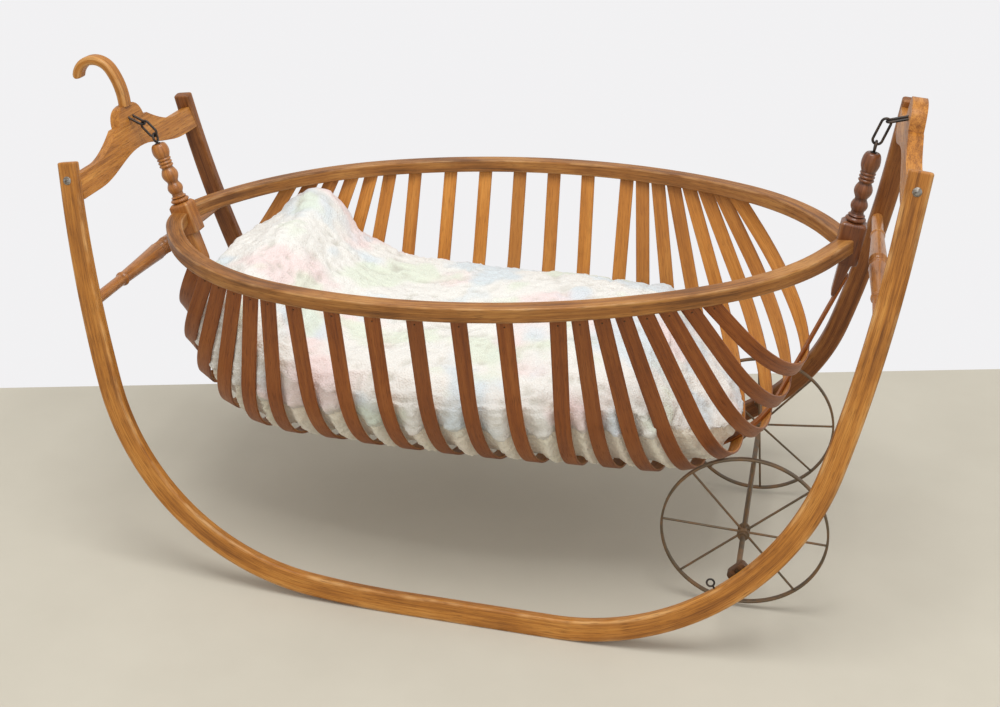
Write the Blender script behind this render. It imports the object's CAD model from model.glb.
# %% [markdown]
# # A hanging cradle of bent wood
# The real thing is a basket of twenty bent oak slats that swings on two iron links between two
# bent runners, with two small iron wheels under its foot end and a tufted quilt inside.
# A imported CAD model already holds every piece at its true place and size. This lesson gives that
# fixed frame its looks: finer bars and turnings over the CAD ones, softened edges, wood and iron
# finishes made of nodes, and a quilt that is blown up like a real padded cloth.

import math

import bpy
import numpy as np
from mathutils import Matrix


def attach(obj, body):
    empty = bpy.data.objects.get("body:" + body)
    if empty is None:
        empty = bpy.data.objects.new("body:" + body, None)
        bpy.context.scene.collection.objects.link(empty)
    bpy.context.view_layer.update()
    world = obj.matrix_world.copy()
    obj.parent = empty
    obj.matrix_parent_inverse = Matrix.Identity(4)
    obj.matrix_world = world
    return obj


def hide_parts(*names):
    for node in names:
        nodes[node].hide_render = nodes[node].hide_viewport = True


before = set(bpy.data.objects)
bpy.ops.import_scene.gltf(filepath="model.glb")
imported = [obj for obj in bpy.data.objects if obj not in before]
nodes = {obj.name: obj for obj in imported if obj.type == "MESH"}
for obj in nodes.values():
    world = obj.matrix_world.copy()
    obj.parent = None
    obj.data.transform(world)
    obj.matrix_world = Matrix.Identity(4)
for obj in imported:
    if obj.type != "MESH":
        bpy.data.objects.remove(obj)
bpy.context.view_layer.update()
MM = 0.001

# %% [markdown]
# ## A short way to write materials
# A material is a graph of nodes. It could be wired by hand in the editor, or with one line of code
# for each node and link. Here one small class wraps an output socket, so that `1 - mask * 0.4`
# adds its own Math nodes, and one method adds any other kind of node.

# %% A wire that does sums
class Wire:
    """An output socket in a material. The signs + - * on it add a Math node each."""

    def __init__(self, tree, socket=None):
        self.tree, self.socket = tree, socket

    def add(self, kind, settings=None, values=None, out=0):
        """A new node of a kind: its settings come first, then numbers or wires by socket."""
        made = self.tree.nodes.new("ShaderNode" + kind)
        for name, value in (settings or {}).items():
            if name == "stops":
                ramp = made.color_ramp.elements
                while len(ramp) < len(value):
                    ramp.new(1.0)
                for element, (place, colour) in zip(ramp, value):
                    element.position, element.color = place, (*colour, 1.0)
            else:
                setattr(made, name, value)
        for name, value in (values or {}).items():
            self.put(made.inputs[name], value)
        return Wire(self.tree, made.outputs[out])

    def put(self, socket, value):
        """Ties a wire to an input socket, or sets a number or colour on it."""
        if isinstance(value, Wire):
            self.tree.links.new(value.socket, socket)
        else:
            socket.default_value = value

    def math(self, sign, first, second):
        return self.add("Math", {"operation": sign}, {0: first, 1: second})

    def __add__(self, other):
        return self.math("ADD", self, other)

    def __sub__(self, other):
        return self.math("SUBTRACT", self, other)

    def __rsub__(self, other):
        return self.math("SUBTRACT", other, self)

    def __mul__(self, other):
        return self.math("MULTIPLY", self, other)

    __radd__ = __add__
    __rmul__ = __mul__


print("wires add, subtract and multiply")

# %% [markdown]
# Most patterns in wood, iron and cloth are noise that is stretched, squeezed or cut off at a level.
# Two helpers cover that: noise with grains of a real length and width in metres, and a soft step.

# %% Noise, steps and mixes
def noise(w, place, along, across, detail=2.0, rough=0.5):
    """Noise with grains `along` metres long in the first direction and `across` in the others."""
    scale = (1 / along, 1 / across, 1 / across)
    lay = w.add("Mapping", None, {"Vector": place, "Scale": scale})
    return w.add("TexNoise", None, {"Vector": lay, "Scale": 1.0, "Detail": detail, "Roughness": rough})


def step(w, value, low, high):
    """0 below low, 1 above high, and smooth between them."""
    settings = {"interpolation_type": "SMOOTHSTEP"}
    return w.add("MapRange", settings, {0: value, 1: low, 2: high, 3: 0.0, 4: 1.0})


def mix(w, share, first, second):
    """A colour that goes from first to second as share goes from 0 to 1."""
    pair = {name: value if isinstance(value, Wire) else (*value, 1.0)
            for name, value in ((6, first), (7, second))}
    return w.add("Mix", {"data_type": "RGBA"}, {0: share, **pair}, out=2)


def new_material(name, recipe, *args, **fixed):
    """A material whose recipe returns the shader's varying sockets; fixed ones are plain numbers."""
    made = bpy.data.materials.new(name)
    made.use_nodes = True
    w = Wire(made.node_tree)
    shader = made.node_tree.nodes["Principled BSDF"]
    for socket, value in {**fixed.get("plain", {}), **recipe(w, *args)}.items():
        w.put(shader.inputs[socket], value)
    print("material", name, "with", len(made.node_tree.nodes), "nodes")
    return made


# %% [markdown]
# ## Oak, bent and varnished
# The bars are steam-bent oak under old golden varnish. Oak shows long growth bands, finer streaks,
# and short dark pores that run with the grain. Where hands and cloth rub, mostly on the edges, the
# varnish is thin and pale. The grain has to follow each bend, so bars get a map in metres:
# its first number runs along the bar and its second goes round it. Turned and sawn pieces that
# stay CAD use Object coordinates instead, turned so that the first number lies along the grain.

# %% The wood recipe
def wood(w, place, tones, contrast=1.0, gloss=0.42):
    """Wood: bands, streaks and stain pick a tone from dark to light, and pores cut dark dashes."""
    dark, middle, light, pale = tones
    bands = noise(w, place, 0.30, 0.007, 2.0, 0.55)
    streaks = noise(w, place, 0.09, 0.0014, 2.0, 0.6)
    stain = noise(w, place, 0.16, 0.05, 2.0, 0.5)
    pores = step(w, noise(w, place, 0.026, 0.0011, 2.0), 0.53, 0.66)
    tone = 0.5 + (bands * 1.1 + streaks * 0.8 + stain * 1.1 - 1.5) * contrast
    stops = [(0.12, dark), (0.5, middle), (0.88, light)]
    colour = w.add("ValToRGB", {"stops": stops}, {0: tone})
    wear = w.add("Attribute", {"attribute_name": "wear"}, out=2)
    hollow = w.add("Attribute", {"attribute_name": "hollow"}, out=2)
    rubbed = wear * step(w, noise(w, place, 0.08, 0.03, 3.0, 0.6), 0.38, 0.66)
    colour = mix(w, rubbed * 0.55, colour, pale)
    colour = mix(w, pores * 0.5 + hollow * 0.6, colour, tuple(0.6 * c for c in dark))
    grain = streaks * 0.5 + bands * 0.3 - pores * 0.7
    bump = w.add("Bump", None, {"Strength": 0.35, "Distance": 0.0006, "Height": grain})
    rough = gloss + streaks * 0.16 + pores * 0.15 - rubbed * 0.06
    return {"Base Color": colour, "Roughness": rough, "Normal": bump}


def along_map(w):
    """The bar's own map: metres along it, and metres round it."""
    return w.add("UVMap", {"uv_map": "grain"})


def along_axis(turn):
    """Object coordinates turned so that the grain's direction comes first."""
    def place(w):
        here = w.add("TexCoord", out=3)
        return w.add("Mapping", {"vector_type": "TEXTURE"}, {"Vector": here, "Rotation": turn})
    return place


def wood_on(w, place, *rest):
    return wood(w, place(w), *rest)


OAK = [(0.190, 0.064, 0.010), (0.415, 0.158, 0.023), (0.570, 0.255, 0.050), (0.68, 0.41, 0.17)]
TURNED = [(0.170, 0.056, 0.010), (0.370, 0.130, 0.022), (0.500, 0.210, 0.044), (0.60, 0.33, 0.13)]
VARNISH = {"Coat Weight": 0.12, "Coat Roughness": 0.25, "Specular IOR Level": 0.28}
oak_bent = new_material("oak_bent", wood_on, along_map, OAK, 1.0, 0.40, plain=VARNISH)
RIM_OAK = [(0.130, 0.046, 0.009), (0.300, 0.115, 0.022), (0.420, 0.190, 0.045), (0.52, 0.31, 0.14)]
oak_rim = new_material("oak_rim", wood_on, along_map, RIM_OAK, 1.2, 0.44, plain=VARNISH)
AGED_OAK = [(0.090, 0.026, 0.006), (0.210, 0.068, 0.014), (0.310, 0.120, 0.028), (0.40, 0.20, 0.08)]
oak_aged = new_material("oak_aged", wood_on, along_map, AGED_OAK, 1.0, 0.38, plain=VARNISH)
oak_board = new_material("oak_board", wood_on, along_axis((0, 0, math.radians(90))), OAK,
                         1.0, 0.42, plain=VARNISH)
BLOCK = [(0.050, 0.022, 0.008), (0.110, 0.046, 0.015), (0.180, 0.080, 0.026), (0.30, 0.16, 0.07)]
dark_block = new_material("dark_block", wood_on, along_axis((0, math.radians(40), 0)), BLOCK,
                          1.0, 0.50, plain=VARNISH)
LACQUER = {"Coat Weight": 0.35, "Coat Roughness": 0.14, "Specular IOR Level": 0.35}
turned_wood = new_material("turned_wood", wood_on, along_map, TURNED, 0.8, 0.32, plain=LACQUER)
RED_TURNED = [(0.060, 0.016, 0.005), (0.150, 0.044, 0.011), (0.240, 0.080, 0.020), (0.34, 0.15, 0.05)]
turned_red = new_material("turned_red", wood_on, along_map, RED_TURNED, 0.8, 0.30, plain=LACQUER)

# %% [markdown]
# ## Slats, dark outside and golden inside
# The slats are thinner strips. Their outer faces took more stain and dirt and look red-brown, while
# the inner faces kept a golden tone, and dirt has darkened their narrow edges. Each slat was cut from another board, so each one also differs
# a little. One more attribute, `inner`, says which face a point is on, and the map of each slat
# starts at another place, so the noise gives every slat its own figure.

# %% The slat recipe
SLAT_OUT = [(0.150, 0.036, 0.006), (0.290, 0.082, 0.012), (0.390, 0.130, 0.024), (0.085, 0.026, 0.008)]
SLAT_IN = [(0.330, 0.118, 0.019), (0.530, 0.205, 0.032), (0.670, 0.300, 0.062), (0.13, 0.050, 0.016)]


def slat_finish(w):
    """Two woods mixed by the face, with a tone that differs from slat to slat."""
    place = along_map(w)
    outside, inside = wood(w, place, SLAT_OUT, 0.8, 0.40), wood(w, place, SLAT_IN, 0.8, 0.38)
    inner = w.add("Attribute", {"attribute_name": "inner"}, out=2)
    shade = w.add("Attribute", {"attribute_name": "shade"}, out=2)
    colour = mix(w, inner, outside["Base Color"], inside["Base Color"])
    colour = mix(w, shade * 0.35, colour, (0.16, 0.052, 0.016))
    return {**outside, "Base Color": colour}


slat_wood = new_material("slat_wood", slat_finish, plain=VARNISH)

# %% [markdown]
# ## Iron and steel
# The staples, links and eyes are black forged wire with a soft sheen. The wheels were painted once;
# now they are brown-grey iron with rust in patches. The screws are old bright steel, dulled unevenly.

# %% Three metals
def metal(w, clean, dull, patch, share, rough):
    """Metal: clean and dull areas in patches of a size, with fine pits in the surface."""
    place = w.add("TexCoord", out=3)
    patches = step(w, noise(w, place, patch, patch, 4.0, 0.65), share - 0.12, share + 0.12)
    pits = noise(w, place, 0.0016, 0.0016, 3.0, 0.7)
    colour = mix(w, patches, clean, dull)
    colour = mix(w, step(w, pits, 0.55, 0.8) * 0.5, colour, tuple(0.4 * c for c in dull))
    bump = w.add("Bump", None, {"Strength": 0.4, "Distance": 0.0004, "Height": pits + patches * 0.4})
    return {"Base Color": colour, "Roughness": rough + patches * 0.22 + pits * 0.12,
            "Metallic": 0.85 - patches * 0.45, "Normal": bump}


dark_iron = new_material("dark_iron", metal, (0.045, 0.040, 0.037), (0.075, 0.050, 0.034),
                         0.012, 0.55, 0.34)
wheel_iron = new_material("wheel_iron", metal, (0.150, 0.115, 0.078), (0.210, 0.120, 0.058),
                          0.030, 0.52, 0.42)
brown_iron = new_material("brown_iron", metal, (0.100, 0.050, 0.024), (0.130, 0.058, 0.022),
                          0.004, 0.45, 0.40)
old_steel = new_material("old_steel", metal, (0.36, 0.345, 0.32), (0.16, 0.13, 0.10),
                         0.005, 0.50, 0.30)

# %% [markdown]
# ## Lines made of straights and bends
# A steam-bent bar is a chain: straight stretches, and arcs of one radius each. Blender could draw it
# as a curve with handles, but then its radii would be guesses. Worked out in numpy, the line is
# exactly the one that the CAD part follows, only in finer steps.

# %% A chain of runs
def chain(runs, start=(0.0, 0.0), heading=0.0, spacing=5.0):
    """Rows of x, y, heading and distance in mm along runs of [length, 0] or [radius, turn in degrees].
    On a bend of radius r from heading a to b the point moves by r (sin b - sin a, cos a - cos b)."""
    (x, y), a, gone, rows = start, math.radians(heading), 0.0, []
    for size, turn in runs:
        bend = math.radians(turn)
        whole = size if turn == 0 else size * abs(bend)
        t = np.linspace(0, 1, max(int(whole / spacing), 1) + 1)
        b = a + bend * t
        if turn == 0:
            part = np.stack([x + size * t * np.cos(b), y + size * t * np.sin(b)], 1)
        else:
            r = math.copysign(size, turn)
            part = np.stack([x + r * (np.sin(b) - math.sin(a)), y + r * (math.cos(a) - np.cos(b))], 1)
        rows.append(np.column_stack([part, b, gone + whole * t])[0 if not rows else 1:])
        (x, y), a, gone = part[-1], b[-1], gone + whole
    return np.concatenate(rows)


def outline(width, height, corner, steps=6):
    """Points round a bar's section with rounded corners, the distance to each one round the section
    (one more than the points), and how near a corner each one is, from 0 to 1."""
    corners = []
    for k in range(4):
        a = np.radians(90 * (k + np.linspace(0, 1, steps + 1)))
        sx, sy = (1, -1, -1, 1)[k], (1, 1, -1, -1)[k]
        centre = np.array([sx * (width / 2 - corner), sy * (height / 2 - corner)])
        corners.append(centre + corner * np.stack([np.cos(a), np.sin(a)], 1))
    points, rubbed = [], []
    for k in range(4):
        last, following = corners[k][-1], corners[(k + 1) % 4][0]
        flat = last + (following - last) * np.array([[0.15], [0.5], [0.85]])
        points += [corners[k], flat]
        rubbed += [np.sin(np.linspace(0.15, math.pi - 0.15, steps + 1)), np.array([0.1, 0.0, 0.1])]
    points, rubbed = np.concatenate(points), np.concatenate(rubbed)
    sides = np.linalg.norm(np.roll(points, -1, 0) - points, axis=1)
    return points, np.append(0, np.cumsum(sides)), rubbed


print("a quarter bend of radius 100 is", round(chain([[100, 90]])[-1, 3], 1), "mm long")

# %% [markdown]
# ## One skin for every new piece
# Each new piece is a grid of points whose columns go round it, so one function can turn any of them
# into a mesh: quads between the rows, a fan of triangles at each end, and the map in metres.
# Pieces of several grids, such as a turned hanger with its block, become one object.

# %% Grids into objects
def grid_faces(rows, cols):
    """Corner numbers of the quads between the rows, and of the two end fans, for a closed grid whose
    two poles come after its points; with each corner's row and column for the map."""
    r, c = (a.ravel() for a in np.meshgrid(np.arange(rows - 1), np.arange(cols), indexing="ij"))
    ring, col = np.stack([r, r, r + 1, r + 1], 1), np.stack([c, c + 1, c + 1, c], 1)
    c = np.arange(cols)
    first = np.stack([np.full(cols, rows * cols), (c + 1) % cols, c], 1)
    base = (rows - 1) * cols
    last = np.stack([base + c, base + (c + 1) % cols, np.full(cols, rows * cols + 1)], 1)
    fan_rows = np.concatenate([np.zeros((cols, 3), int), np.full((cols, 3), rows - 1)])
    fan_cols = np.concatenate([np.stack([c, c + 1, c], 1), np.stack([c, c + 1, c], 1)])
    return ring * cols + col % cols, np.concatenate([first, last]), ring, col, fan_rows, fan_cols


def signed_volume(p, quads, fans):
    """Sum over the triangles of a . (b x c) / 6: positive when the faces point outwards."""
    tris = np.concatenate([quads[:, :3], quads[:, [0, 2, 3]], fans])
    a, b, c = (p[tris[:, k]] for k in range(3))
    return np.einsum("ij,ij->", a, np.cross(b, c)) / 6


def skin(name, grids, finish, body, stands_for):
    """One smooth object of closed grids (points in mm, along, around, marks by name), which rides on
    a body and stands for CAD nodes."""
    points, quads, fans, quad_map, fan_map, marks, base = [], [], [], [], [], {}, 0
    for grid in grids:
        p, along, around = grid["points"], grid["along"] * MM, grid["around"] * MM
        rows, cols = p.shape[:2]
        q, f, q_row, q_col, f_row, f_col = grid_faces(rows, cols)
        flat = np.concatenate([p.reshape(-1, 3), p[[0, -1]].mean(1)]) * MM
        if signed_volume(flat, q, f) < 0:
            q, f, q_row, q_col, f_row, f_col = (a[:, ::-1] for a in (q, f, q_row, q_col, f_row, f_col))
        points.append(flat)
        quads.append(q + base)
        fans.append(f + base)
        quad_map.append(np.stack([along[q_row], around[q_col]], -1).reshape(-1, 2))
        fan_map.append(np.stack([along[f_row], around[f_col]], -1).reshape(-1, 2))
        for mark in ("wear", "hollow", "inner", "shade"):
            value = np.broadcast_to(grid.get(mark, 0.0), (rows, cols)).ravel()
            marks.setdefault(mark, []).append(np.append(value, [value[0], value[-1]]))
        base += len(flat)
    mesh = bpy.data.meshes.new(name)
    faces = np.concatenate(quads).tolist() + np.concatenate(fans).tolist()
    mesh.from_pydata(np.concatenate(points).tolist(), [], faces)
    grain = mesh.uv_layers.new(name="grain")
    grain.data.foreach_set("uv", np.concatenate(quad_map + fan_map).astype(np.float32).ravel())
    for mark, values in marks.items():
        values = np.concatenate(values).astype(np.float32)
        if values.any():
            mesh.attributes.new(mark, "FLOAT", "POINT").data.foreach_set("value", values)
    mesh.polygons.foreach_set("use_smooth", np.ones(len(mesh.polygons), bool))
    mesh.set_sharp_from_angle(angle=math.radians(50))
    mesh.materials.append(finish)
    made = bpy.data.objects.new(name, mesh)
    bpy.context.scene.collection.objects.link(made)
    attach(made, body)
    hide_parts(*stands_for)
    return made


def sweep(centre, across, out, section, squeeze=1.0, thin=1.0, along=None, **marks):
    """A grid that carries a section along a line: centre + across * x * squeeze + out * y * thin."""
    shape, around, rubbed = section
    squeeze, thin = (np.broadcast_to(a, len(centre))[:, None, None] for a in (squeeze, thin))
    points = (centre[:, None] + across[:, None] * shape[None, :, :1] * squeeze
              + out[:, None] * shape[None, :, 1:] * thin)
    if along is None:
        along = np.append(0, np.cumsum(np.linalg.norm(np.diff(centre, axis=0), axis=1)))
    return {"points": points, "along": along, "around": around, "wear": rubbed[None, :], **marks}


print("a grid of 3 by 4 has", sum(len(f) for f in grid_faces(3, 4)[:2]), "faces")

# %% [markdown]
# ## The two bent runners
# Each runner is a single bar: head post, rocker and foot post. Its line lies in one plane, which
# leans outward at the floor. The head post narrows toward its top. Both tops are sawn square, with
# their edges worn round.

# %% Runner lines
def nose(line, way, reach, steps=7):
    """Rows that round off the end of a line: at angle t the section has moved by reach sin t and
    narrowed to cos(t)^0.55."""
    t = np.radians(np.linspace(12, 86, steps))
    x, y, heading, gone = line[-1] if way > 0 else line[0]
    ahead = way * reach * np.sin(t)
    rows = np.stack([x + ahead * math.cos(heading), y + ahead * math.sin(heading),
                     np.full(steps, heading), gone + ahead], 1)
    narrow = np.cos(t) ** 0.55
    return (rows, narrow) if way > 0 else (rows[::-1], narrow[::-1])


def cap(line, way, edge, steps=7):
    """Rows that end a line square with a worn edge: at angle t the section is edge (1 - sin t) short
    of the end and drawn in by edge (1 - cos t) on every side."""
    t = np.radians(np.linspace(0, 88, steps))
    x, y, heading, gone = line[-1] if way > 0 else line[0]
    back = -way * edge * (1 - np.sin(t))
    rows = np.stack([x + back * math.cos(heading), y + back * math.sin(heading),
                     np.full(steps, heading), gone + back], 1)
    drawn = edge * (1 - np.cos(t))
    return (rows, drawn) if way > 0 else (rows[::-1], drawn[::-1])


def mirrored(line):
    """A chain that runs toward -X instead, in reverse, so that it leads up to its start."""
    return np.stack([-line[::-1, 0], line[::-1, 1], -line[::-1, 2], line[-1, 3] - line[::-1, 3]], 1)


RUNNER_W, RUNNER_T, RUNNER_R = 37, 21, 6
SPLAY, FOOT_HALF, SOLE_Z = math.radians(11.24), 358, 16
FLAT_X, FLAT_LEN = -26.5, 260
HEAD_POST, FOOT_POST, TAPER_LEN, HEAD_TAPER, POST_EDGE = 48, 103.6, 330, 0.86, 3
HEAD_BENDS = [[1566, 6], [434, 68.3], [2444, 7.7], [HEAD_POST, 0]]
FOOT_BENDS = [[426.5, 76.6], [2675, 8], [FOOT_POST, 0]]
head_line = mirrored(chain(HEAD_BENDS))
head_line[:, 0] += FLAT_X
foot_line = chain([[FLAT_LEN, 0]] + FOOT_BENDS, start=(FLAT_X, 0))[1:]
foot_line[:, 3] += head_line[-1, 3]
body_line = np.concatenate([head_line, foot_line])
head_cap, head_drawn = cap(body_line, -1, POST_EDGE)
foot_cap, foot_drawn = cap(body_line, 1, POST_EDGE)
runner_line = np.concatenate([head_cap, body_line[1:-1], foot_cap])
drawn = np.concatenate([head_drawn, np.zeros(len(body_line) - 2), foot_drawn])
climb = np.clip((runner_line[:, 1] - head_line[0, 1] + TAPER_LEN) / TAPER_LEN, 0, 1)
on_head = runner_line[:, 0] < FLAT_X
runner_squeeze = (1 - (1 - HEAD_TAPER) * climb * on_head) * (1 - 2 * drawn / RUNNER_W)
runner_thin = 1 - 2 * drawn / RUNNER_T
print("a runner is", round(body_line[-1, 3] - body_line[0, 3]), "mm of bar")

# %% Runner skins
def in_runner_plane(rows, side):
    """Places and directions of a line in the runner's plane: X stays, the plane's own Y climbs
    inward by the splay, and its normal points out."""
    lean, rise = math.sin(SPLAY), math.cos(SPLAY)
    flip = np.array([1, -side, 1])
    zero, one = np.zeros(len(rows)), np.ones(len(rows))
    centre = np.stack([rows[:, 0], rows[:, 1] * lean - FOOT_HALF, SOLE_Z + rows[:, 1] * rise], 1)
    across = np.stack([-np.sin(rows[:, 2]), np.cos(rows[:, 2]) * lean, np.cos(rows[:, 2]) * rise], 1)
    out = np.stack([zero, -one * rise, one * lean], 1)
    return centre * flip, across * flip, out * flip


for side, name, finish in ((-1, "near_runner", oak_bent), (1, "far_runner", oak_aged)):
    centre, across, out = in_runner_plane(runner_line, side)
    bar = sweep(centre, across, out, outline(RUNNER_W, RUNNER_T, RUNNER_R), runner_squeeze, runner_thin,
                along=runner_line[:, 3] + 4000 * (side + 1))
    made = skin("bent_" + name, [bar], finish, "frame", [name])
    print(made.name, len(made.data.polygons), "faces")

# %% [markdown]
# ## The lifting handle
# A bent strip rises from the round boss on the head rail and hooks over outward. Its line lies in
# the upright plane along the cradle, in the leaning frame of the rail.

# %% Handle
HANDLE_W, HANDLE_T, HANDLE_IN, HANDLE_MID = 26, 16, 1, 48
HEAD_CREST_IN, HEAD_CREST_DROP, HEAD_BOSS = 3, 33, 72
HEAD_CREST_LEAN = math.radians(14.6)
head_end = chain(HEAD_BENDS)[-1]
head_crest_at = np.array([
    FLAT_X - head_end[0] + HEAD_CREST_DROP * math.cos(head_end[2]) + HEAD_CREST_IN, 0,
    SOLE_Z + (head_end[1] - HEAD_CREST_DROP * math.sin(head_end[2])) * math.cos(SPLAY)])
handle_line = chain([[28, 0], [117.5, -30], [35, -125], [24, -12]], heading=100, spacing=3)
handle_line = handle_line[handle_line[:, 1] > HEAD_BOSS - HANDLE_MID - 5]
tip, tip_narrow = nose(handle_line, 1, HANDLE_T * 0.4)
handle_squeeze = np.append(np.ones(len(handle_line)), tip_narrow)
handle_line = np.concatenate([handle_line, tip])
# The handle's own X points away from the basket, and its Y climbs the rail from the boss.
outward = np.array([-math.cos(HEAD_CREST_LEAN), 0, -math.sin(HEAD_CREST_LEAN)])
upward = np.array([-math.sin(HEAD_CREST_LEAN), 0, math.cos(HEAD_CREST_LEAN)])
root = head_crest_at - outward * HANDLE_IN + upward * HANDLE_MID
x, y, heading = (handle_line[:, k, None] for k in range(3))
centre = root + outward * x + upward * y
across = -np.sin(heading) * outward + np.cos(heading) * upward
out = np.broadcast_to([0.0, 1.0, 0.0], centre.shape)
handle = skin("hooked_handle", [sweep(centre, across, out, outline(HANDLE_T, HANDLE_W, 6), handle_squeeze,
                                      along=handle_line[:, 3] + 900)],
              oak_bent, "frame", ["lifting_handle"])
print(handle.name, "tops out at", round(max(v.co.z for v in handle.data.vertices), 3), "m")

# %% [markdown]
# ## The basket's own frame
# The whole basket was measured level along its keel and then turned by a degree and a half, so
# one function moves every point of it: a turn about Y, and a shift along X.

# %% Basket frame, hangers' places
BASKET_X, BASKET_RISE = 14.9, math.radians(1.5)
HEAD_HANGER_X, FOOT_HANGER_X, RIM_HEAD_Z, RIM_RISE = -541, 638, 558.8, math.radians(2)
RIM_W, RIM_T = 29, 24


def on_basket(p):
    """x cos b - z sin b + shift, y, and x sin b + z cos b, for the basket's rise b."""
    c, s = math.cos(BASKET_RISE), math.sin(BASKET_RISE)
    return np.stack([BASKET_X + p[..., 0] * c - p[..., 2] * s, p[..., 1],
                     p[..., 0] * s + p[..., 2] * c], -1)


def turn_basket(v):
    return on_basket(v) - on_basket(np.zeros(3))


def rim_top(x):
    return RIM_HEAD_Z + (x - HEAD_HANGER_X) * math.tan(RIM_RISE)


head_root = np.array([HEAD_HANGER_X, 0, rim_top(HEAD_HANGER_X) - RIM_T / 2])
foot_root = np.array([FOOT_HANGER_X, 0, rim_top(FOOT_HANGER_X) - RIM_T / 2])
print("rim runs from", on_basket(head_root).round(), "to", on_basket(foot_root).round())

# %% [markdown]
# ## The rim in two halves
# The rim is two bent strips that meet in the hanger blocks. Each half is a chain in the rim's own
# plane, which climbs gently toward the foot.

# %% Rim
RIM_START = 115.3
RIM_RUNS = [[75.5, 0], [430.3, 31.8], [800.9, 51.3], [497.1, 46.2], [173.6, 25.4]]
BLOCK_W = 36
rim_line = chain(RIM_RUNS, heading=RIM_START, spacing=4)
rim_ahead = np.array([math.cos(RIM_RISE), 0, math.sin(RIM_RISE)])
rim_up = np.array([-math.sin(RIM_RISE), 0, math.cos(RIM_RISE)])

for side, name in ((-1, "near_rim"), (1, "far_rim")):
    rows = rim_line[rim_line[:, 1] > BLOCK_W / 2 - 9]
    x, y, heading = (rows[:, k, None] for k in range(3))
    sideways = np.array([0, side, 0])
    centre = on_basket(foot_root + rim_ahead * x + sideways * y)
    across = turn_basket(-np.sin(heading) * rim_ahead + np.cos(heading) * sideways)
    out = np.broadcast_to(turn_basket(rim_up), centre.shape)
    bar = sweep(centre, across, out, outline(RIM_W, RIM_T, 3.2), along=rows[:, 3] + 12000 + 3000 * side)
    made = skin("bent_" + name, [bar], oak_rim, "basket", [name])
    print(made.name, len(made.data.polygons), "faces")

# %% [markdown]
# ## The keel strip
# A thin strip runs inside the slats along the bottom and curls up to the two hangers' tongues.

# %% Keel
KEEL_W, KEEL_T, KEEL_Z, SEAT_GAP = 22, 5, 170.5, 0.1
HEAD_KEEL = [[311.0, 0], [195, 84], [62, 0], [140, -15], [40, 0]]
FOOT_KEEL = [[355.4, 0], [205, 68], [252, 0]]
keel_head, keel_foot = mirrored(chain(HEAD_KEEL)), chain(FOOT_KEEL)
keel_head[:, 3] -= keel_head[-1, 3]
keel_line = np.concatenate([keel_head, keel_foot[1:]])
zero = np.zeros(len(keel_line))
keel = sweep(
    on_basket(np.stack([keel_line[:, 0], zero, KEEL_Z + keel_line[:, 1]], 1)),
    turn_basket(np.stack([-np.sin(keel_line[:, 2]), zero, np.cos(keel_line[:, 2])], 1)),
    np.broadcast_to([0.0, 1.0, 0.0], (len(keel_line), 3)),
    outline(KEEL_T, KEEL_W, 1.5), along=keel_line[:, 3] + 22000)
made = skin("curved_keel", [keel], slat_wood, "basket", ["keel_strip"])
print(made.name, len(made.data.polygons), "faces")

# %% [markdown]
# ## Twenty bent slats
# Every slat is one strip that starts under the near rim, bends under the keel and climbs to the far
# rim. In its own plane it is an arc with two straight ends. On the keel it lies square to the keel,
# and toward the rim it turns until it faces the basket's inside, so it twists a little on the way.

# %% Slat places
SLAT_W, SLAT_T, SLAT_LEAN = 26, 4.5, math.radians(16.7)
REACH = math.pi / 2 - SLAT_LEAN


def three_groups(head, middle, foot):
    """Places of 6, 6 and 8 slats, each group at its own start and spacing."""
    return np.concatenate([start + gap * np.arange(n)
                           for (start, gap), n in zip((head, middle, foot), (6, 6, 8))])


slat_tops = three_groups((-426, 34.6), (-205, 69), (219, 31))
slat_feet = three_groups((-636, 66), (-221, 73.8), (215, 68))
slat_numbers = np.arange(len(slat_tops))
rim_x, rim_y = rim_line[::-1, 0], rim_line[::-1, 1]


def slat_section(i):
    """For slat numbers i: lowest point and way up (x, z), half width at the rim, depth, radius of
    the bend, and the keel's slope there. The bend's radius is what fits an arc and a straight of
    a set lean into that width and depth."""
    s = np.interp(i, slat_numbers, slat_feet)
    x, up, slope = (np.interp(s, keel_line[:, 3], keel_line[:, k]) for k in range(3))
    off = KEEL_T / 2 + SLAT_T / 2 + SEAT_GAP
    low = np.stack([x + np.sin(slope) * off, KEEL_Z + up - np.cos(slope) * off], -1)
    u = (np.interp(i, slat_numbers, slat_tops) - foot_root[0]) / math.cos(RIM_RISE)
    high = (foot_root[[0, 2]] + u[..., None] * rim_ahead[[0, 2]] - rim_up[[0, 2]] * RIM_T / 2)
    half = np.interp(u, rim_x, rim_y)
    depth = np.linalg.norm(high - low, axis=-1)
    share = (1 - math.sin(SLAT_LEAN)) / math.cos(SLAT_LEAN)
    straight = (depth - half * share) / (math.cos(SLAT_LEAN) - math.sin(SLAT_LEAN) * share)
    radius = (half - straight * math.sin(SLAT_LEAN)) / math.cos(SLAT_LEAN)
    return low, (high - low) / depth[..., None], half, depth, radius, slope


print("the middle slat bends at", round(float(slat_section(np.array([9.0]))[4][0])), "mm radius")

# %% Slat skins
def unit(v):
    return v / np.linalg.norm(v, axis=-1, keepdims=True)


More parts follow.
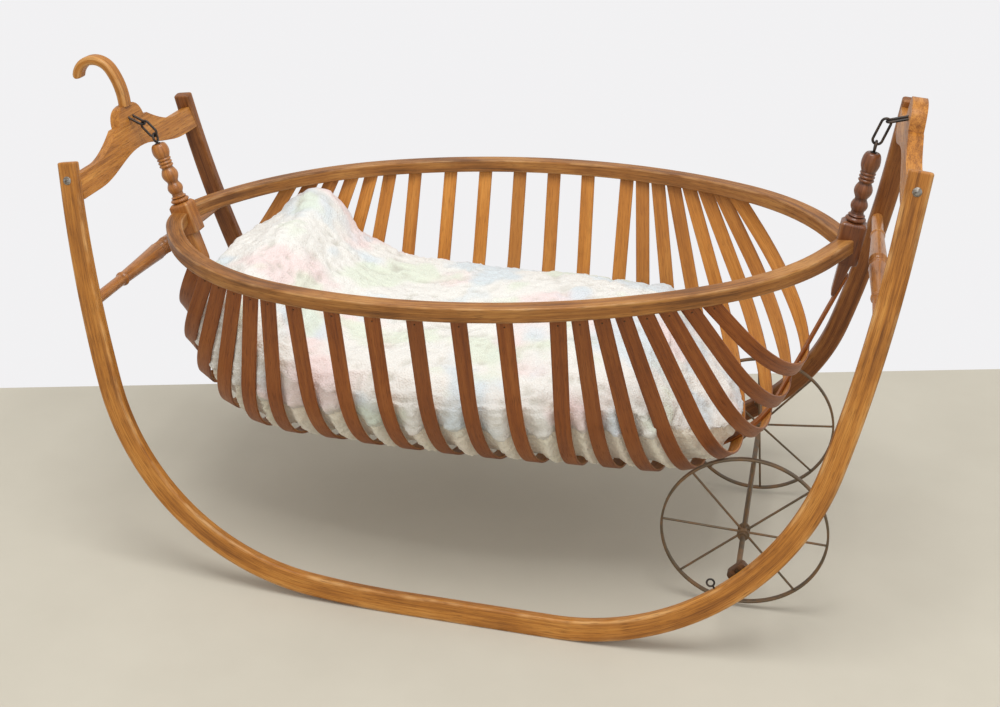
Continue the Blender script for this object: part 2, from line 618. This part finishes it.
def slat_grid(i):
    """The rings of one slat: an arc of angle t at (r sin t, r (1 - cos t)), then a straight."""
    low, rise, half, depth, radius, slope = (np.asarray(v)[0] for v in slat_section(np.array([float(i)])))
    t = np.linspace(0, REACH, 46)
    flat = radius * (1 - math.cos(REACH / 21))
    wide, up = radius * np.sin(t), np.maximum(radius * (1 - np.cos(t)) - flat, 0)
    rest = np.linspace(0, 1, 17)[1:]
    wide = np.append(wide, wide[-1] + (half - wide[-1]) * rest)
    up = np.append(up, up[-1] + (depth - up[-1]) * rest)
    t = np.append(t, np.full(len(rest), REACH))
    way = np.repeat([-1, 1], [len(t) - 1, len(t)])
    wide, up, t = (np.concatenate([a[:0:-1], a]) for a in (wide, up, t))
    centre = np.stack([low[0] + rise[0] * up, way * wide, low[1] + rise[1] * up], 1)
    sine = np.sin(t) * way
    along = unit(np.stack([rise[0] * sine, np.cos(t), rise[1] * sine], 1))
    share = (np.sin(math.pi / 2 * t / REACH) ** 2)[:, None]
    mixed = (np.array([math.cos(slope), 0, math.sin(slope)]) * (1 - share)
             + np.array([rise[1], 0, -rise[0]]) * share)
    across = unit(mixed - (mixed * along).sum(1, keepdims=True) * along)
    return sweep(centre, across, np.cross(along, across), outline(SLAT_W, SLAT_T, 1.2, 3))


def onto_rim(points, way):
    """Moves points along a direction until they lie on the rim's under face."""
    under = foot_root - rim_up * (RIM_T / 2 + SEAT_GAP)
    return points + way * (((under - points) @ rim_up) / (way @ rim_up))[:, None]


rng = np.random.default_rng(5)
for i in slat_numbers:
    grid = slat_grid(i)
    p = grid["points"]
    middle = p.mean(1)
    p[0] = onto_rim(p[0], unit(middle[0] - middle[1]))
    p[-1] = onto_rim(p[-1], unit(middle[-1] - middle[-2]))
    grid["points"] = on_basket(p)
    grid["inner"] = np.clip(-outline(SLAT_W, SLAT_T, 1.2, 3)[0][:, 1], 0, 1)[None, :]
    grid["shade"] = float(rng.uniform(0, 1))
    grid["along"] = grid["along"] + 1370.0 * (i + 1)
    made = skin(f"bent_slat_{i + 1:02d}", [grid], slat_wood, "basket", [f"slat_{i + 1:02d}"])
print("twenty slats of", len(made.data.polygons), "faces each")

# %% [markdown]
# ## Turned stretchers and hangers
# Stretchers and spindles were turned on a lathe: a profile spun round its axis. Blender's Spin tool
# or Screw modifier would do it, but worked out as a grid the piece gets a map with the grain along
# its axis, and a mark for the grooves, where dark wax collects.

# %% Profiles
def bead(z, width, radius, height):
    """A rounded bead on a profile: radius + height sin t, for t from 0 to 180 degrees."""
    t = np.linspace(0, math.pi, 13)
    return np.stack([radius + height * np.sin(t), z + width * t / math.pi], 1)


def lathe(profile, base, axis, side, along=0.0):
    """A grid of a profile [radius, place] spun round an axis. Points every 1.2 mm of the profile,
    and a mark where its radius is less than the average over 12 mm round it."""
    gone = np.append(0, np.cumsum(np.linalg.norm(np.diff(profile, axis=0), axis=1)))
    at = np.arange(0, gone[-1], 1.2)
    radius, place = (np.interp(at, gone, profile[:, k]) for k in range(2))
    wide = np.convolve(np.pad(radius, 5, mode="edge"), np.ones(11) / 11, "valid")
    hollow = np.clip((wide - radius) / 1.6, 0, 1)[:, None]
    t = np.linspace(0, 2 * math.pi, 49)[:-1]
    spin = np.cos(t)[:, None] * side + np.sin(t)[:, None] * np.cross(axis, side)
    points = base + place[:, None, None] * axis + radius[:, None, None] * spin
    around = np.linspace(0, 2 * math.pi * radius.max(), 49)
    return {"points": points, "along": place + along, "around": around, "hollow": hollow, "wear": 0.35}


STRETCHER_D, SPINDLE_D = 32, 30


def stretcher_half(reach):
    """From the middle of a stretcher to its end: a worn middle between thin rings, a taper by a
    share t of its way as t^0.8, a ring at the quarter and a slender end."""
    d, ring = STRETCHER_D / 2, reach * 0.52
    t = np.linspace(0, 1, 30)[1:]
    taper = np.stack([d - 5 * t ** 0.8, 18 + (ring - 19) * t], 1)
    return np.concatenate([
        [[d - 1.5, 0]], bead(4, 4, d - 3, 2), bead(9, 4, d - 3, 2), [[d - 2, 15], [d, 18]], taper,
        bead(ring, 8, d - 5, 2), [[d - 6, ring + 10], [d - 5.5, reach]]])


def half_spacing(z):
    return FOOT_HALF - (z - SOLE_Z) * math.tan(SPLAY)


for name, line, z, inward in (("head_stretcher", head_line, 463, 0), ("foot_stretcher", foot_line, 571.5, 5)):
    order = np.argsort(line[:, 1])
    x = np.interp((z - SOLE_Z) / math.cos(SPLAY), line[order, 1], line[order, 0]) - inward
    reach = half_spacing(z) + RUNNER_T
    half = stretcher_half(reach)
    profile = np.concatenate([half[::-1] * [1, -1], half[1:]])
    profile = profile[np.abs(profile[:, 1]) < half_spacing(z) - 4]
    ends = half_spacing(z) - 4
    profile = np.concatenate([[[profile[0, 0], -ends]], profile, [[profile[-1, 0], ends]]])
    grid = lathe(profile, np.array([x, 0, z]), np.array([0.0, 1, 0]), np.array([1.0, 0, 0]), 700 + z)
    made = skin("turned_" + name, [grid], turned_wood, "frame", [name])
    print(made.name, len(made.data.polygons), "faces")

# %% [markdown]
# A hanger is three things in one piece: a turned spindle, a square block that holds the rim, and a
# tongue that carries the keel. The block and tongue are sections carried up the hanger's axis.

# %% Hangers
BLOCK_DOWN, CHAMFER = 32, 4
TONGUE_LEN, TONGUE_W, TONGUE_INNER, TONGUE_OUTER = 62, 28, 8, 13


def spindle_profile(h):
    """The spindle from its block upward: a wide foot, two balls, three thin rings and a dome."""
    d, dome = SPINDLE_D / 2, 87
    belly = 0.45 * (h - dome)
    t = np.linspace(0, math.pi / 2, 12)
    return np.concatenate([
        [[d - 3, 0]], bead(0.5, 8.5, d - 2, 4), bead(9.5, 3.5, d - 3.5, 2.5),
        [[d - 4.5, 14], [d - 4.5, 17.5]], bead(18, 20, d - 5, 4), bead(41, 26, d - 5, 5),
        bead(69, 5, d - 4, 2), bead(75, 5, d - 4, 2), bead(81, 5, d - 4, 2),
        np.stack([d - 3 + 3.5 * np.sin(t), dome + belly * t / t[-1]], 1),
        np.stack([d - 6 + 6.5 * np.cos(t), dome + belly + (h - dome - belly) * np.sin(t)], 1)[1:]])


def box_rows(levels, outer, inner, half_width, corner):
    """Rows of a box along the hanger whose faces lie outer and inner of the axis at each level."""
    shape, around, rubbed = outline(2, 2, corner / 19, 5)
    middle, half = (outer - inner) / 2, (outer + inner) / 2
    n = middle[:, None] + half[:, None] * shape[None, :, 0]
    y = half_width[:, None] * shape[None, :, 1]
    return n, y, np.broadcast_to(levels[:, None], n.shape), around * 19, rubbed


def hanger(name, finish, root, lean, way, depth, up, spindle, wedge):
    c, s = math.cos(math.radians(lean)), math.sin(math.radians(lean))
    outward, axis = np.array([way * c, 0, -s]), np.array([way * s, 0, c])

    def placed(n, y, t):
        return on_basket(root + n[..., None] * outward + y[..., None] * np.array([0.0, 1, 0])
                         + t[..., None] * axis)
    inset = np.array([2.5, 1.0, 0.3, 0.0, 0.0, 0.0, 0.0, 1.4, CHAMFER])
    levels = np.array([-BLOCK_DOWN, -BLOCK_DOWN + 0.6, -BLOCK_DOWN + 1.6, -BLOCK_DOWN + 3,
                       0, up - CHAMFER - 1.5, up - CHAMFER - 0.5, up - CHAMFER + 1.2, up])
    half = np.full(len(levels), depth / 2) - inset
    n, y, t, around, rubbed = box_rows(levels, half, half, np.full(len(levels), BLOCK_W / 2) - inset, 4)
    block = {"points": placed(n, y, t), "along": levels + 500, "around": around, "wear": rubbed[None]}
    down = np.array([-2.0, 0, 8, 20, 35, 50, 56, 59.5, 61.4, 62])
    round_off = np.interp(down, [50, 56, 59.5, 61.4, 62], [0, 0.6, 2.2, 4.6, 7])
    outer = TONGUE_OUTER - np.maximum(down, 0) * math.tan(math.radians(wedge)) - round_off * 0.5
    inner = np.full(len(down), float(TONGUE_INNER)) - round_off * 0.5
    n, y, t, around, rubbed = box_rows(-BLOCK_DOWN - down, outer, inner, TONGUE_W / 2 - round_off, 5)
    tongue = {"points": placed(n, y, t), "along": 380 - down, "around": around, "wear": rubbed[None]}
    turned = lathe(spindle_profile(spindle), np.zeros(3), np.array([0.0, 0, 1]), np.array([1.0, 0, 0]), 600)
    p = turned["points"]
    turned["points"] = placed(p[..., 0], p[..., 1], p[..., 2] + up)
    made = skin("turned_" + name, [block, tongue, turned], finish, "basket", [name])
    print(made.name, len(made.data.polygons), "faces")


hanger("head_hanger", turned_wood, head_root, 17, -1, 38, 27, 113, 4)
hanger("foot_hanger", turned_red, foot_root, 8.6, 1, 42, 40, 118, 13.4)

# %% [markdown]
# ## Boards and ironwork that keep their CAD shape
# The crest boards, the axle blocks and the wheels have the right shape already, but machine-sharp
# edges. A merged copy with a Bevel modifier breaks those edges as a spokeshave or years of use do.
# The wire pieces are round as they are and only take a finish.

# %% Softened copies
def softened(name, node, finish, body, width, segments=3):
    """A merged copy of a CAD node with its sharp edges rounded to a width in mm."""
    mesh = nodes[node].data.copy()
    made = bpy.data.objects.new(name, mesh)
    bpy.context.scene.collection.objects.link(made)
    weld = made.modifiers.new("weld", "WELD")
    weld.merge_threshold = 0.00002
    bevel = made.modifiers.new("edges", "BEVEL")
    bevel.width, bevel.segments = width * MM, segments
    bevel.limit_method, bevel.angle_limit = "ANGLE", math.radians(35)
    bevel.harden_normals = False
    graph = bpy.context.evaluated_depsgraph_get()
    done = bpy.data.meshes.new_from_object(made.evaluated_get(graph))
    made.modifiers.clear()
    made.data = done
    done.name = name
    done.materials.clear()
    done.materials.append(finish)
    done.polygons.foreach_set("use_smooth", np.ones(len(done.polygons), bool))
    done.set_sharp_from_angle(angle=math.radians(40))
    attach(made, body)
    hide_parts(node)
    print(name, len(done.polygons), "faces")
    return made


for end in ("head", "foot"):
    softened(f"carved_{end}_crest", f"{end}_crest_rail", oak_board, "frame", 2.6, 4)
softened("worn_axle_blocks", "axle_blocks", dark_block, "frame", 1.5)
for side in ("near", "far"):
    softened(f"{side}_tyre", f"{side}_wheel_rim", wheel_iron, f"{side}_wheel", 1.1)
    softened(f"{side}_hub", f"{side}_wheel_hub", wheel_iron, f"{side}_wheel", 0.8)

# %% Finishes for the CAD nodes that stay
STAYING = {
    "head_staple": dark_iron, "foot_staple": dark_iron, "head_link": dark_iron,
    "foot_link": dark_iron, "head_eye": dark_iron, "foot_eye": dark_iron, "wire_hook": dark_iron,
    "runner_screw_eye": dark_iron, "rim_tacks": brown_iron, "keel_tacks": brown_iron,
    "axle": wheel_iron, "axle_collars": wheel_iron, "near_wheel_spokes": wheel_iron,
    "far_wheel_spokes": wheel_iron, "crest_screws": old_steel,
}
for name, finish in STAYING.items():
    for place in nodes[name].material_slots:
        place.material = finish
print(len(STAYING), "CAD nodes keep their shape")

# %% [markdown]
# ## The quilt
# The bedding is a thick tufted bedspread, heaped at the head and lower toward the foot. It fills
# the basket, sags a little between the slats, and its scalloped edge shows along the sides.
# A pillow could be sculpted by hand. Here it starts as a grid whose rows lie in the planes of the
# slats, so it knows where each slat holds it back. Then cloth simulation swells it, and relief in
# code gives it folds and tufts.

# %% Relief without loops
def lumps(p, size, seed):
    """Smooth random relief from -1 to 1 with lumps of a size in mm: random values on a lattice,
    blended between the eight corners round each point by t t (3 - 2 t)."""
    q = p / size + 1000.0
    cell = np.floor(q).astype(np.int64)
    t = q - cell
    t = t * t * (3 - 2 * t)
    table = np.random.default_rng(seed).uniform(-1, 1, 4096)
    total = np.zeros(p.shape[:-1])
    for corner in np.ndindex(2, 2, 2):
        hashed = (cell + corner) @ np.array([73856093, 19349663, 83492791]) % 4096
        total += np.prod(np.where(corner, t, 1 - t), axis=-1) * table[hashed]
    return total


def smooth(t):
    t = np.clip(t, 0, 1)
    return t * t * (3 - 2 * t)


print("relief at one place:", round(float(lumps(np.array([[10.0, 20, 30]]), 9, 1)[0]), 3))

# %% The quilt's first shape
QUILT_FROM, QUILT_TO = 0.15, 16.2


def wall_half(r, off, h):
    """Half width at a height inside slats of bend radius r, off inside them."""
    bend = r - (r - off) * math.cos(REACH)
    arc = np.sqrt(np.maximum((r - off) ** 2 - (r - h) ** 2, 0))
    return np.where(h < bend, arc, (r - off) * math.sin(REACH) + (h - bend) * math.tan(SLAT_LEAN))


def quilt_grid(rows, n):
    """The quilt's rings over slat numbers: wall points up both sides and a crown over the top.
    Returns points in mm in the basket's frame, before its turn, and how far each is from a slat."""
    i = np.linspace(QUILT_FROM, QUILT_TO, rows)
    low, rise, half, depth, r, slope = slat_section(i)
    slant = np.arccos(np.minimum(rise[:, 1] * np.cos(slope) - rise[:, 0] * np.sin(slope), 1))
    seat = SLAT_T / 2 + SEAT_GAP + KEEL_T + 0.3
    off = (seat / np.cos(slant) + SLAT_W / 2 * np.tan(slant))[:, None]
    fill = (0.62 + 0.33 * (1 - smooth((i - 2) / 5)) - 0.2 * (1 - smooth(i / 2.6))
            - 0.5 * smooth((i - 13.9) / 3.2))
    top = (depth * fill)[:, None]
    edge = off + (top - off) * 0.84
    draw = 1 - 0.12 * (1 - smooth((i - QUILT_FROM) / 1.2)) - 0.3 * smooth((i - 14.8) / 1.6)
    t = (np.arange(n) + 0.5) / n
    h = off + (edge - off) * (1 - np.cos(math.pi / 2 * t))[None]
    wall = wall_half(r[:, None], off, h)
    rim = wall_half(r[:, None], off, edge)
    y = rim * np.cos(math.pi * t)[None]
    crown = edge + (top - edge) * (np.sin(math.pi * t) ** 0.6)[None]
    across = np.concatenate([-wall[:, ::-1], wall, y], 1) * draw[:, None]
    up = np.concatenate([h[:, ::-1], h, crown], 1)
    points = np.stack([low[:, :1] + rise[:, :1] * up, across, low[:, 1:] + rise[:, 1:] * up], -1)
    spacing = np.linalg.norm(np.gradient(points, i, axis=0), axis=-1)
    from_slat = np.abs(i - np.round(i))[:, None] * spacing
    return points, from_slat, spacing, up / depth[:, None]


points, from_slat, spacing, share = quilt_grid(150, 64)
gap = np.maximum(spacing / 2 - SLAT_W / 2, 1)
free = smooth((from_slat - SLAT_W / 2) / np.minimum(gap, 22))
around = np.roll(points, -1, 1) - np.roll(points, 1, 1)
outward = unit(np.cross(np.gradient(points, axis=0), around))
inside_point = points.mean((0, 1))
if ((points - inside_point) * outward).sum(-1).mean() < 0:
    outward = -outward
on_wall = np.concatenate([np.ones(128), np.zeros(64)])[None] * np.ones((len(points), 1))
SAG, LOW_SAG = 6, 1
lowness = 1 - smooth(share / 0.42)
points = points + outward * ((SAG + LOW_SAG * lowness) * free * on_wall * np.minimum(gap / 18, 1))[..., None]
print("the quilt's grid is", points.shape[:2], "and up to", round(float(spacing.max())), "mm between slats")

# %% Cloth simulation
def plain_mesh(name, p):
    """A mesh object of one closed grid, without looks."""
    rows, cols = p.shape[:2]
    q, f = grid_faces(rows, cols)[:2]
    flat = np.concatenate([p.reshape(-1, 3), p[[0, -1]].mean(1)]) * MM
    if signed_volume(flat, q, f) < 0:
        q, f = q[:, ::-1], f[:, ::-1]
    mesh = bpy.data.meshes.new(name)
    mesh.from_pydata(flat.tolist(), [], q.tolist() + f.tolist())
    made = bpy.data.objects.new(name, mesh)
    bpy.context.scene.collection.objects.link(made)
    return made


def settle(obj, kinds):
    """Applies an object's modifiers: its mesh becomes what they make of it."""
    graph = bpy.context.evaluated_depsgraph_get()
    done = bpy.data.meshes.new_from_object(obj.evaluated_get(graph))
    obj.modifiers.clear()
    obj.data = done
    print(obj.name, "after", kinds, "has", len(done.vertices), "points")


def coordinates(mesh):
    co = np.zeros(len(mesh.vertices) * 3, np.float32)
    mesh.vertices.foreach_get("co", co)
    return co.reshape(-1, 3).astype(float)


quilt = plain_mesh("tufted_quilt", on_basket(points))
remesh = quilt.modifiers.new("even", "REMESH")
remesh.mode, remesh.voxel_size = "VOXEL", 0.008
settle(quilt, "remesh")
rest = coordinates(quilt.data)
CAP = 7
cloth = quilt.modifiers.new("swell", "CLOTH")
cloth.settings.quality = 4
cloth.settings.mass = 0.3
cloth.settings.tension_stiffness = cloth.settings.compression_stiffness = 12
cloth.settings.bending_stiffness = 0.4
cloth.settings.use_pressure = True
cloth.settings.uniform_pressure_force = 4
cloth.settings.shrink_min = -0.12
cloth.settings.effector_weights.gravity = 0
cloth.collision_settings.use_collision = False
cloth.point_cache.frame_start, cloth.point_cache.frame_end = 1, 20
for number in range(1, 21):
    bpy.context.scene.frame_set(number)
settle(quilt, "cloth")
bpy.context.scene.frame_set(1)
moved = coordinates(quilt.data)
shift = moved - rest
length = np.linalg.norm(shift, axis=1, keepdims=True)
shift *= np.minimum(1, CAP * MM / np.maximum(length, 1e-9))
print("cloth moved points by up to", round(float(length.max()) / MM, 1), "mm before the cap")

# %% [markdown]
# The simulated cloth knows nothing of the slats. So each point looks up the nearest place of the
# first grid, which knows, and keeps the swelling only where no slat holds it. After one
# subdivision come the folds, the scalloped edge and the tufts.

# %% Folds and tufts
def nearest_marks(co, grid, marks):
    """For each point, marks of the nearest grid point, through a tree of the grid's points."""
    from mathutils.kdtree import KDTree
    flat = grid.reshape(-1, 3)
    tree = KDTree(len(flat))
    for number, place in enumerate(flat.tolist()):
        tree.insert(place, number)
    tree.balance()
    found = np.array([tree.find(place)[1] for place in co.tolist()])
    return [mark.reshape(-1)[found] for mark in marks]


grid = on_basket(points) * MM
free_here, wall_here = nearest_marks(rest, grid, [free, on_wall])
held = 1 - wall_here * (1 - free_here)
quilt.data.vertices.foreach_set("co", (rest + shift * held[:, None]).astype(np.float32).ravel())
quilt.data.update()
quilt.modifiers.new("finer", "SUBSURF").levels = 1
quilt.modifiers["finer"].render_levels = 1
settle(quilt, "subdivision")
co = coordinates(quilt.data)
free_here, wall_here, share_here = nearest_marks(co, grid, [free, on_wall, share])
normal = np.zeros(len(co) * 3, np.float32)
quilt.data.vertices.foreach_get("normal", normal)
normal = normal.reshape(-1, 3).astype(float)
p = co / MM
warp = np.stack([lumps(p, 90, k) for k in (11, 12, 13)], 1)
folds = lumps(p + 40 * warp, 130, 21) * 9 + lumps(p + 20 * warp, 55, 22) * 4
creases = -4 * np.exp(-(lumps(p * [1, 0.45, 1] + 30 * warp, 85, 23) / 0.12) ** 2)
puffs = 1 - 2 * np.abs(lumps(p + 6 * warp, 17, 31))
tufts = 2.6 * puffs + 1.4 * lumps(p, 7.5, 32)
PEAK, PEAK_WIDE, PEAK_HIGH = np.array([-385.0, 215.0]), 62, 26
peak = PEAK_HIGH * np.exp(-((p[:, :2] - PEAK) ** 2).sum(1) / PEAK_WIDE ** 2) * (1 - wall_here)
hem = 0.40 + 0.03 * np.sin(p[:, 0] / 31) + 0.03 * lumps(p, 60, 41)
step_in = smooth((hem - share_here) / 0.025) * wall_here
ridge = np.exp(-((share_here - hem - 0.03) / 0.02) ** 2) * wall_here
loose = 1 - wall_here * (1 - free_here)
relief = ((folds + creases) * (1 - wall_here) + tufts * (0.35 + 0.65 * loose) + peak
          - 5 * step_in + 4 * ridge * loose)
relief -= wall_here * (1 - free_here) * 1.5
quilt.data.vertices.foreach_set("co", (co + normal * relief[:, None] * MM).astype(np.float32).ravel())
quilt.data.update()
gap_line = np.exp(-((share_here - hem) / 0.012) ** 2) * wall_here
hollow = np.clip(0.45 - tufts / 8 - creases / 14 * (1 - wall_here) + gap_line, 0, 1)
for mark, values in (("hollow", hollow), ("under", step_in)):
    quilt.data.attributes.new(mark, "FLOAT", "POINT").data.foreach_set("value", values.astype(np.float32))
quilt.data.polygons.foreach_set("use_smooth", np.ones(len(quilt.data.polygons), bool))
print("quilt relief from", round(float(relief.min()), 1), "to", round(float(relief.max()), 1), "mm")

# %% [markdown]
# ## Chenille
# The spread is creamy white cotton with very faint pastel areas. Rows of cut tufts make it shaggy.
# Blender could grow hair on it, but bumps at two scales read the same at this distance and export.

# %% The quilt's finish
def chenille(w):
    """Cream cotton with faint pastel areas, darker between the tufts."""
    place = w.add("TexCoord", out=3)
    tint = mix(w, step(w, noise(w, place, 0.16, 0.16, 2.0), 0.49, 0.62) * 0.8,
               (0.80, 0.785, 0.740), (0.82, 0.655, 0.640))
    moved = w.add("Mapping", None, {"Vector": place, "Location": (0.7, 0.3, 0.5)})
    tint = mix(w, step(w, noise(w, moved, 0.14, 0.14, 2.0), 0.50, 0.62) * 0.8, tint, (0.615, 0.700, 0.750))
    moved = w.add("Mapping", None, {"Vector": place, "Location": (0.2, 0.9, 0.1)})
    tint = mix(w, step(w, noise(w, moved, 0.12, 0.12, 2.0), 0.53, 0.64) * 0.7, tint, (0.680, 0.750, 0.600))
    hollow = w.add("Attribute", {"attribute_name": "hollow"}, out=2)
    under = w.add("Attribute", {"attribute_name": "under"}, out=2)
    tint = mix(w, under * 0.8, tint, (0.84, 0.785, 0.640))
    yarn = w.add("TexVoronoi", None, {"Vector": place, "Scale": 260.0, "Randomness": 1.0})
    fine = noise(w, place, 0.0022, 0.0022, 3.0, 0.6)
    colour = mix(w, step(w, hollow, 0.35, 1.0) * 0.55 + yarn * 0.10, tint, (0.46, 0.44, 0.37))
    height = fine * 0.5 - yarn * 0.9
    bump = w.add("Bump", None, {"Strength": 0.7, "Distance": 0.0022, "Height": height})
    return {"Base Color": colour, "Roughness": 0.86 + fine * 0.12, "Normal": bump}


chenille_cotton = new_material("chenille_cotton", chenille,
                               plain={"Sheen Weight": 0.35, "Specular IOR Level": 0.2})
quilt.data.materials.clear()
quilt.data.materials.append(chenille_cotton)
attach(quilt, "basket")
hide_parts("quilt")
print("the quilt stands for its CAD solid")

# %% [markdown]
# ## Floor, light and camera
# The floor is plain pale concrete that stops at a line behind the cradle, and past it the world shows
# a plain pale grey to the camera alone. Large soft lamps overhead do the lighting.

# %% Floor
def concrete(w):
    """Pale concrete with faint clouds."""
    place = w.add("TexCoord", out=3)
    clouds = noise(w, place, 0.35, 0.35, 4.0, 0.6)
    colour = mix(w, clouds, (0.50, 0.465, 0.385), (0.60, 0.565, 0.475))
    return {"Base Color": colour, "Roughness": 0.75 + clouds * 0.1}


floor_finish = new_material("pale_concrete", concrete, plain={"Specular IOR Level": 0.2})
mesh = bpy.data.meshes.new("floor")
mesh.from_pydata([(-4.2, -6.0, 0), (6.0, -6.0, 0), (6.0, 2.52, 0), (-4.2, -0.79, 0)], [], [(0, 1, 2, 3)])
mesh.materials.append(floor_finish)
floor = bpy.data.objects.new("floor", mesh)
bpy.context.scene.collection.objects.link(floor)
print("floor laid")

# %% World and lamps
world = bpy.data.worlds.new("studio")
bpy.context.scene.world = world
world.use_nodes = True
w = Wire(world.node_tree)
world.node_tree.nodes.clear()
seen = w.add("LightPath", out=0)
lit = w.add("Background", None, {"Color": (1.0, 0.99, 0.98, 1), "Strength": 0.78})
shown = w.add("Background", None, {"Color": (0.885, 0.88, 0.89, 1), "Strength": 1.0})
both = w.add("MixShader", None, {0: seen, 1: lit, 2: shown})
last = world.node_tree.nodes.new("ShaderNodeOutputWorld")
world.node_tree.links.new(both.socket, last.inputs[0])


def lamp(name, place, aim, size, watts):
    """A square area lamp at a place, turned toward a point."""
    light = bpy.data.lights.new(name, "AREA")
    light.shape, light.size, light.energy = "SQUARE", size, watts
    made = bpy.data.objects.new(name, light)
    bpy.context.scene.collection.objects.link(made)
    back = (np.array(place) - np.array(aim)).astype(float)
    z = back / np.linalg.norm(back)
    x = np.cross([0.0, 1.0, 0.0], z)
    x /= np.linalg.norm(x)
    y = np.cross(z, x)
    made.matrix_world = Matrix([[x[k], y[k], z[k], place[k]] for k in range(3)] + [[0, 0, 0, 1]])


lamp("overhead", (0.3, -0.9, 3.4), (0.0, 0.0, 0.3), 1.6, 64)
lamp("front", (1.6, -3.2, 2.6), (0.0, 0.0, 0.4), 1.8, 12)
print("two lamps and a pale world")

# %% [markdown]
# The camera's place and turn were solved from the photograph: its focal length is 1420.8 pixels in a
# frame 1000 wide, which is a 51.15 mm lens on a 36 mm sensor.

# %% Camera
YAW, PITCH, ROLL, TURN = (math.radians(a) for a in (13.34, 24.99, -0.33, 1.5))
ahead = np.array([-math.sin(YAW) * math.cos(PITCH), math.cos(YAW) * math.cos(PITCH), -math.sin(PITCH)])
right = np.array([math.cos(YAW), math.sin(YAW), 0])
up = np.cross(right, ahead)
right, up = (math.cos(ROLL) * right + math.sin(ROLL) * up, -math.sin(ROLL) * right + math.cos(ROLL) * up)
tilt = np.array([[math.cos(TURN), 0, -math.sin(TURN)], [0, 1, 0], [math.sin(TURN), 0, math.cos(TURN)]])
x, y, z = tilt @ right, tilt @ up, -(tilt @ ahead)
camera = bpy.data.objects.new("photo_camera", bpy.data.cameras.new("photo_camera"))
camera.data.sensor_width, camera.data.lens = 36, 36 * 1420.8 / 1000
place = np.array([562.6, -2266, 1428.8]) * MM
camera.matrix_world = Matrix([[x[k], y[k], z[k], place[k]] for k in range(3)] + [[0, 0, 0, 1]])
bpy.context.scene.collection.objects.link(camera)
bpy.context.scene.camera = camera
bpy.context.scene.view_settings.view_transform = "Standard"
print("camera at", place)
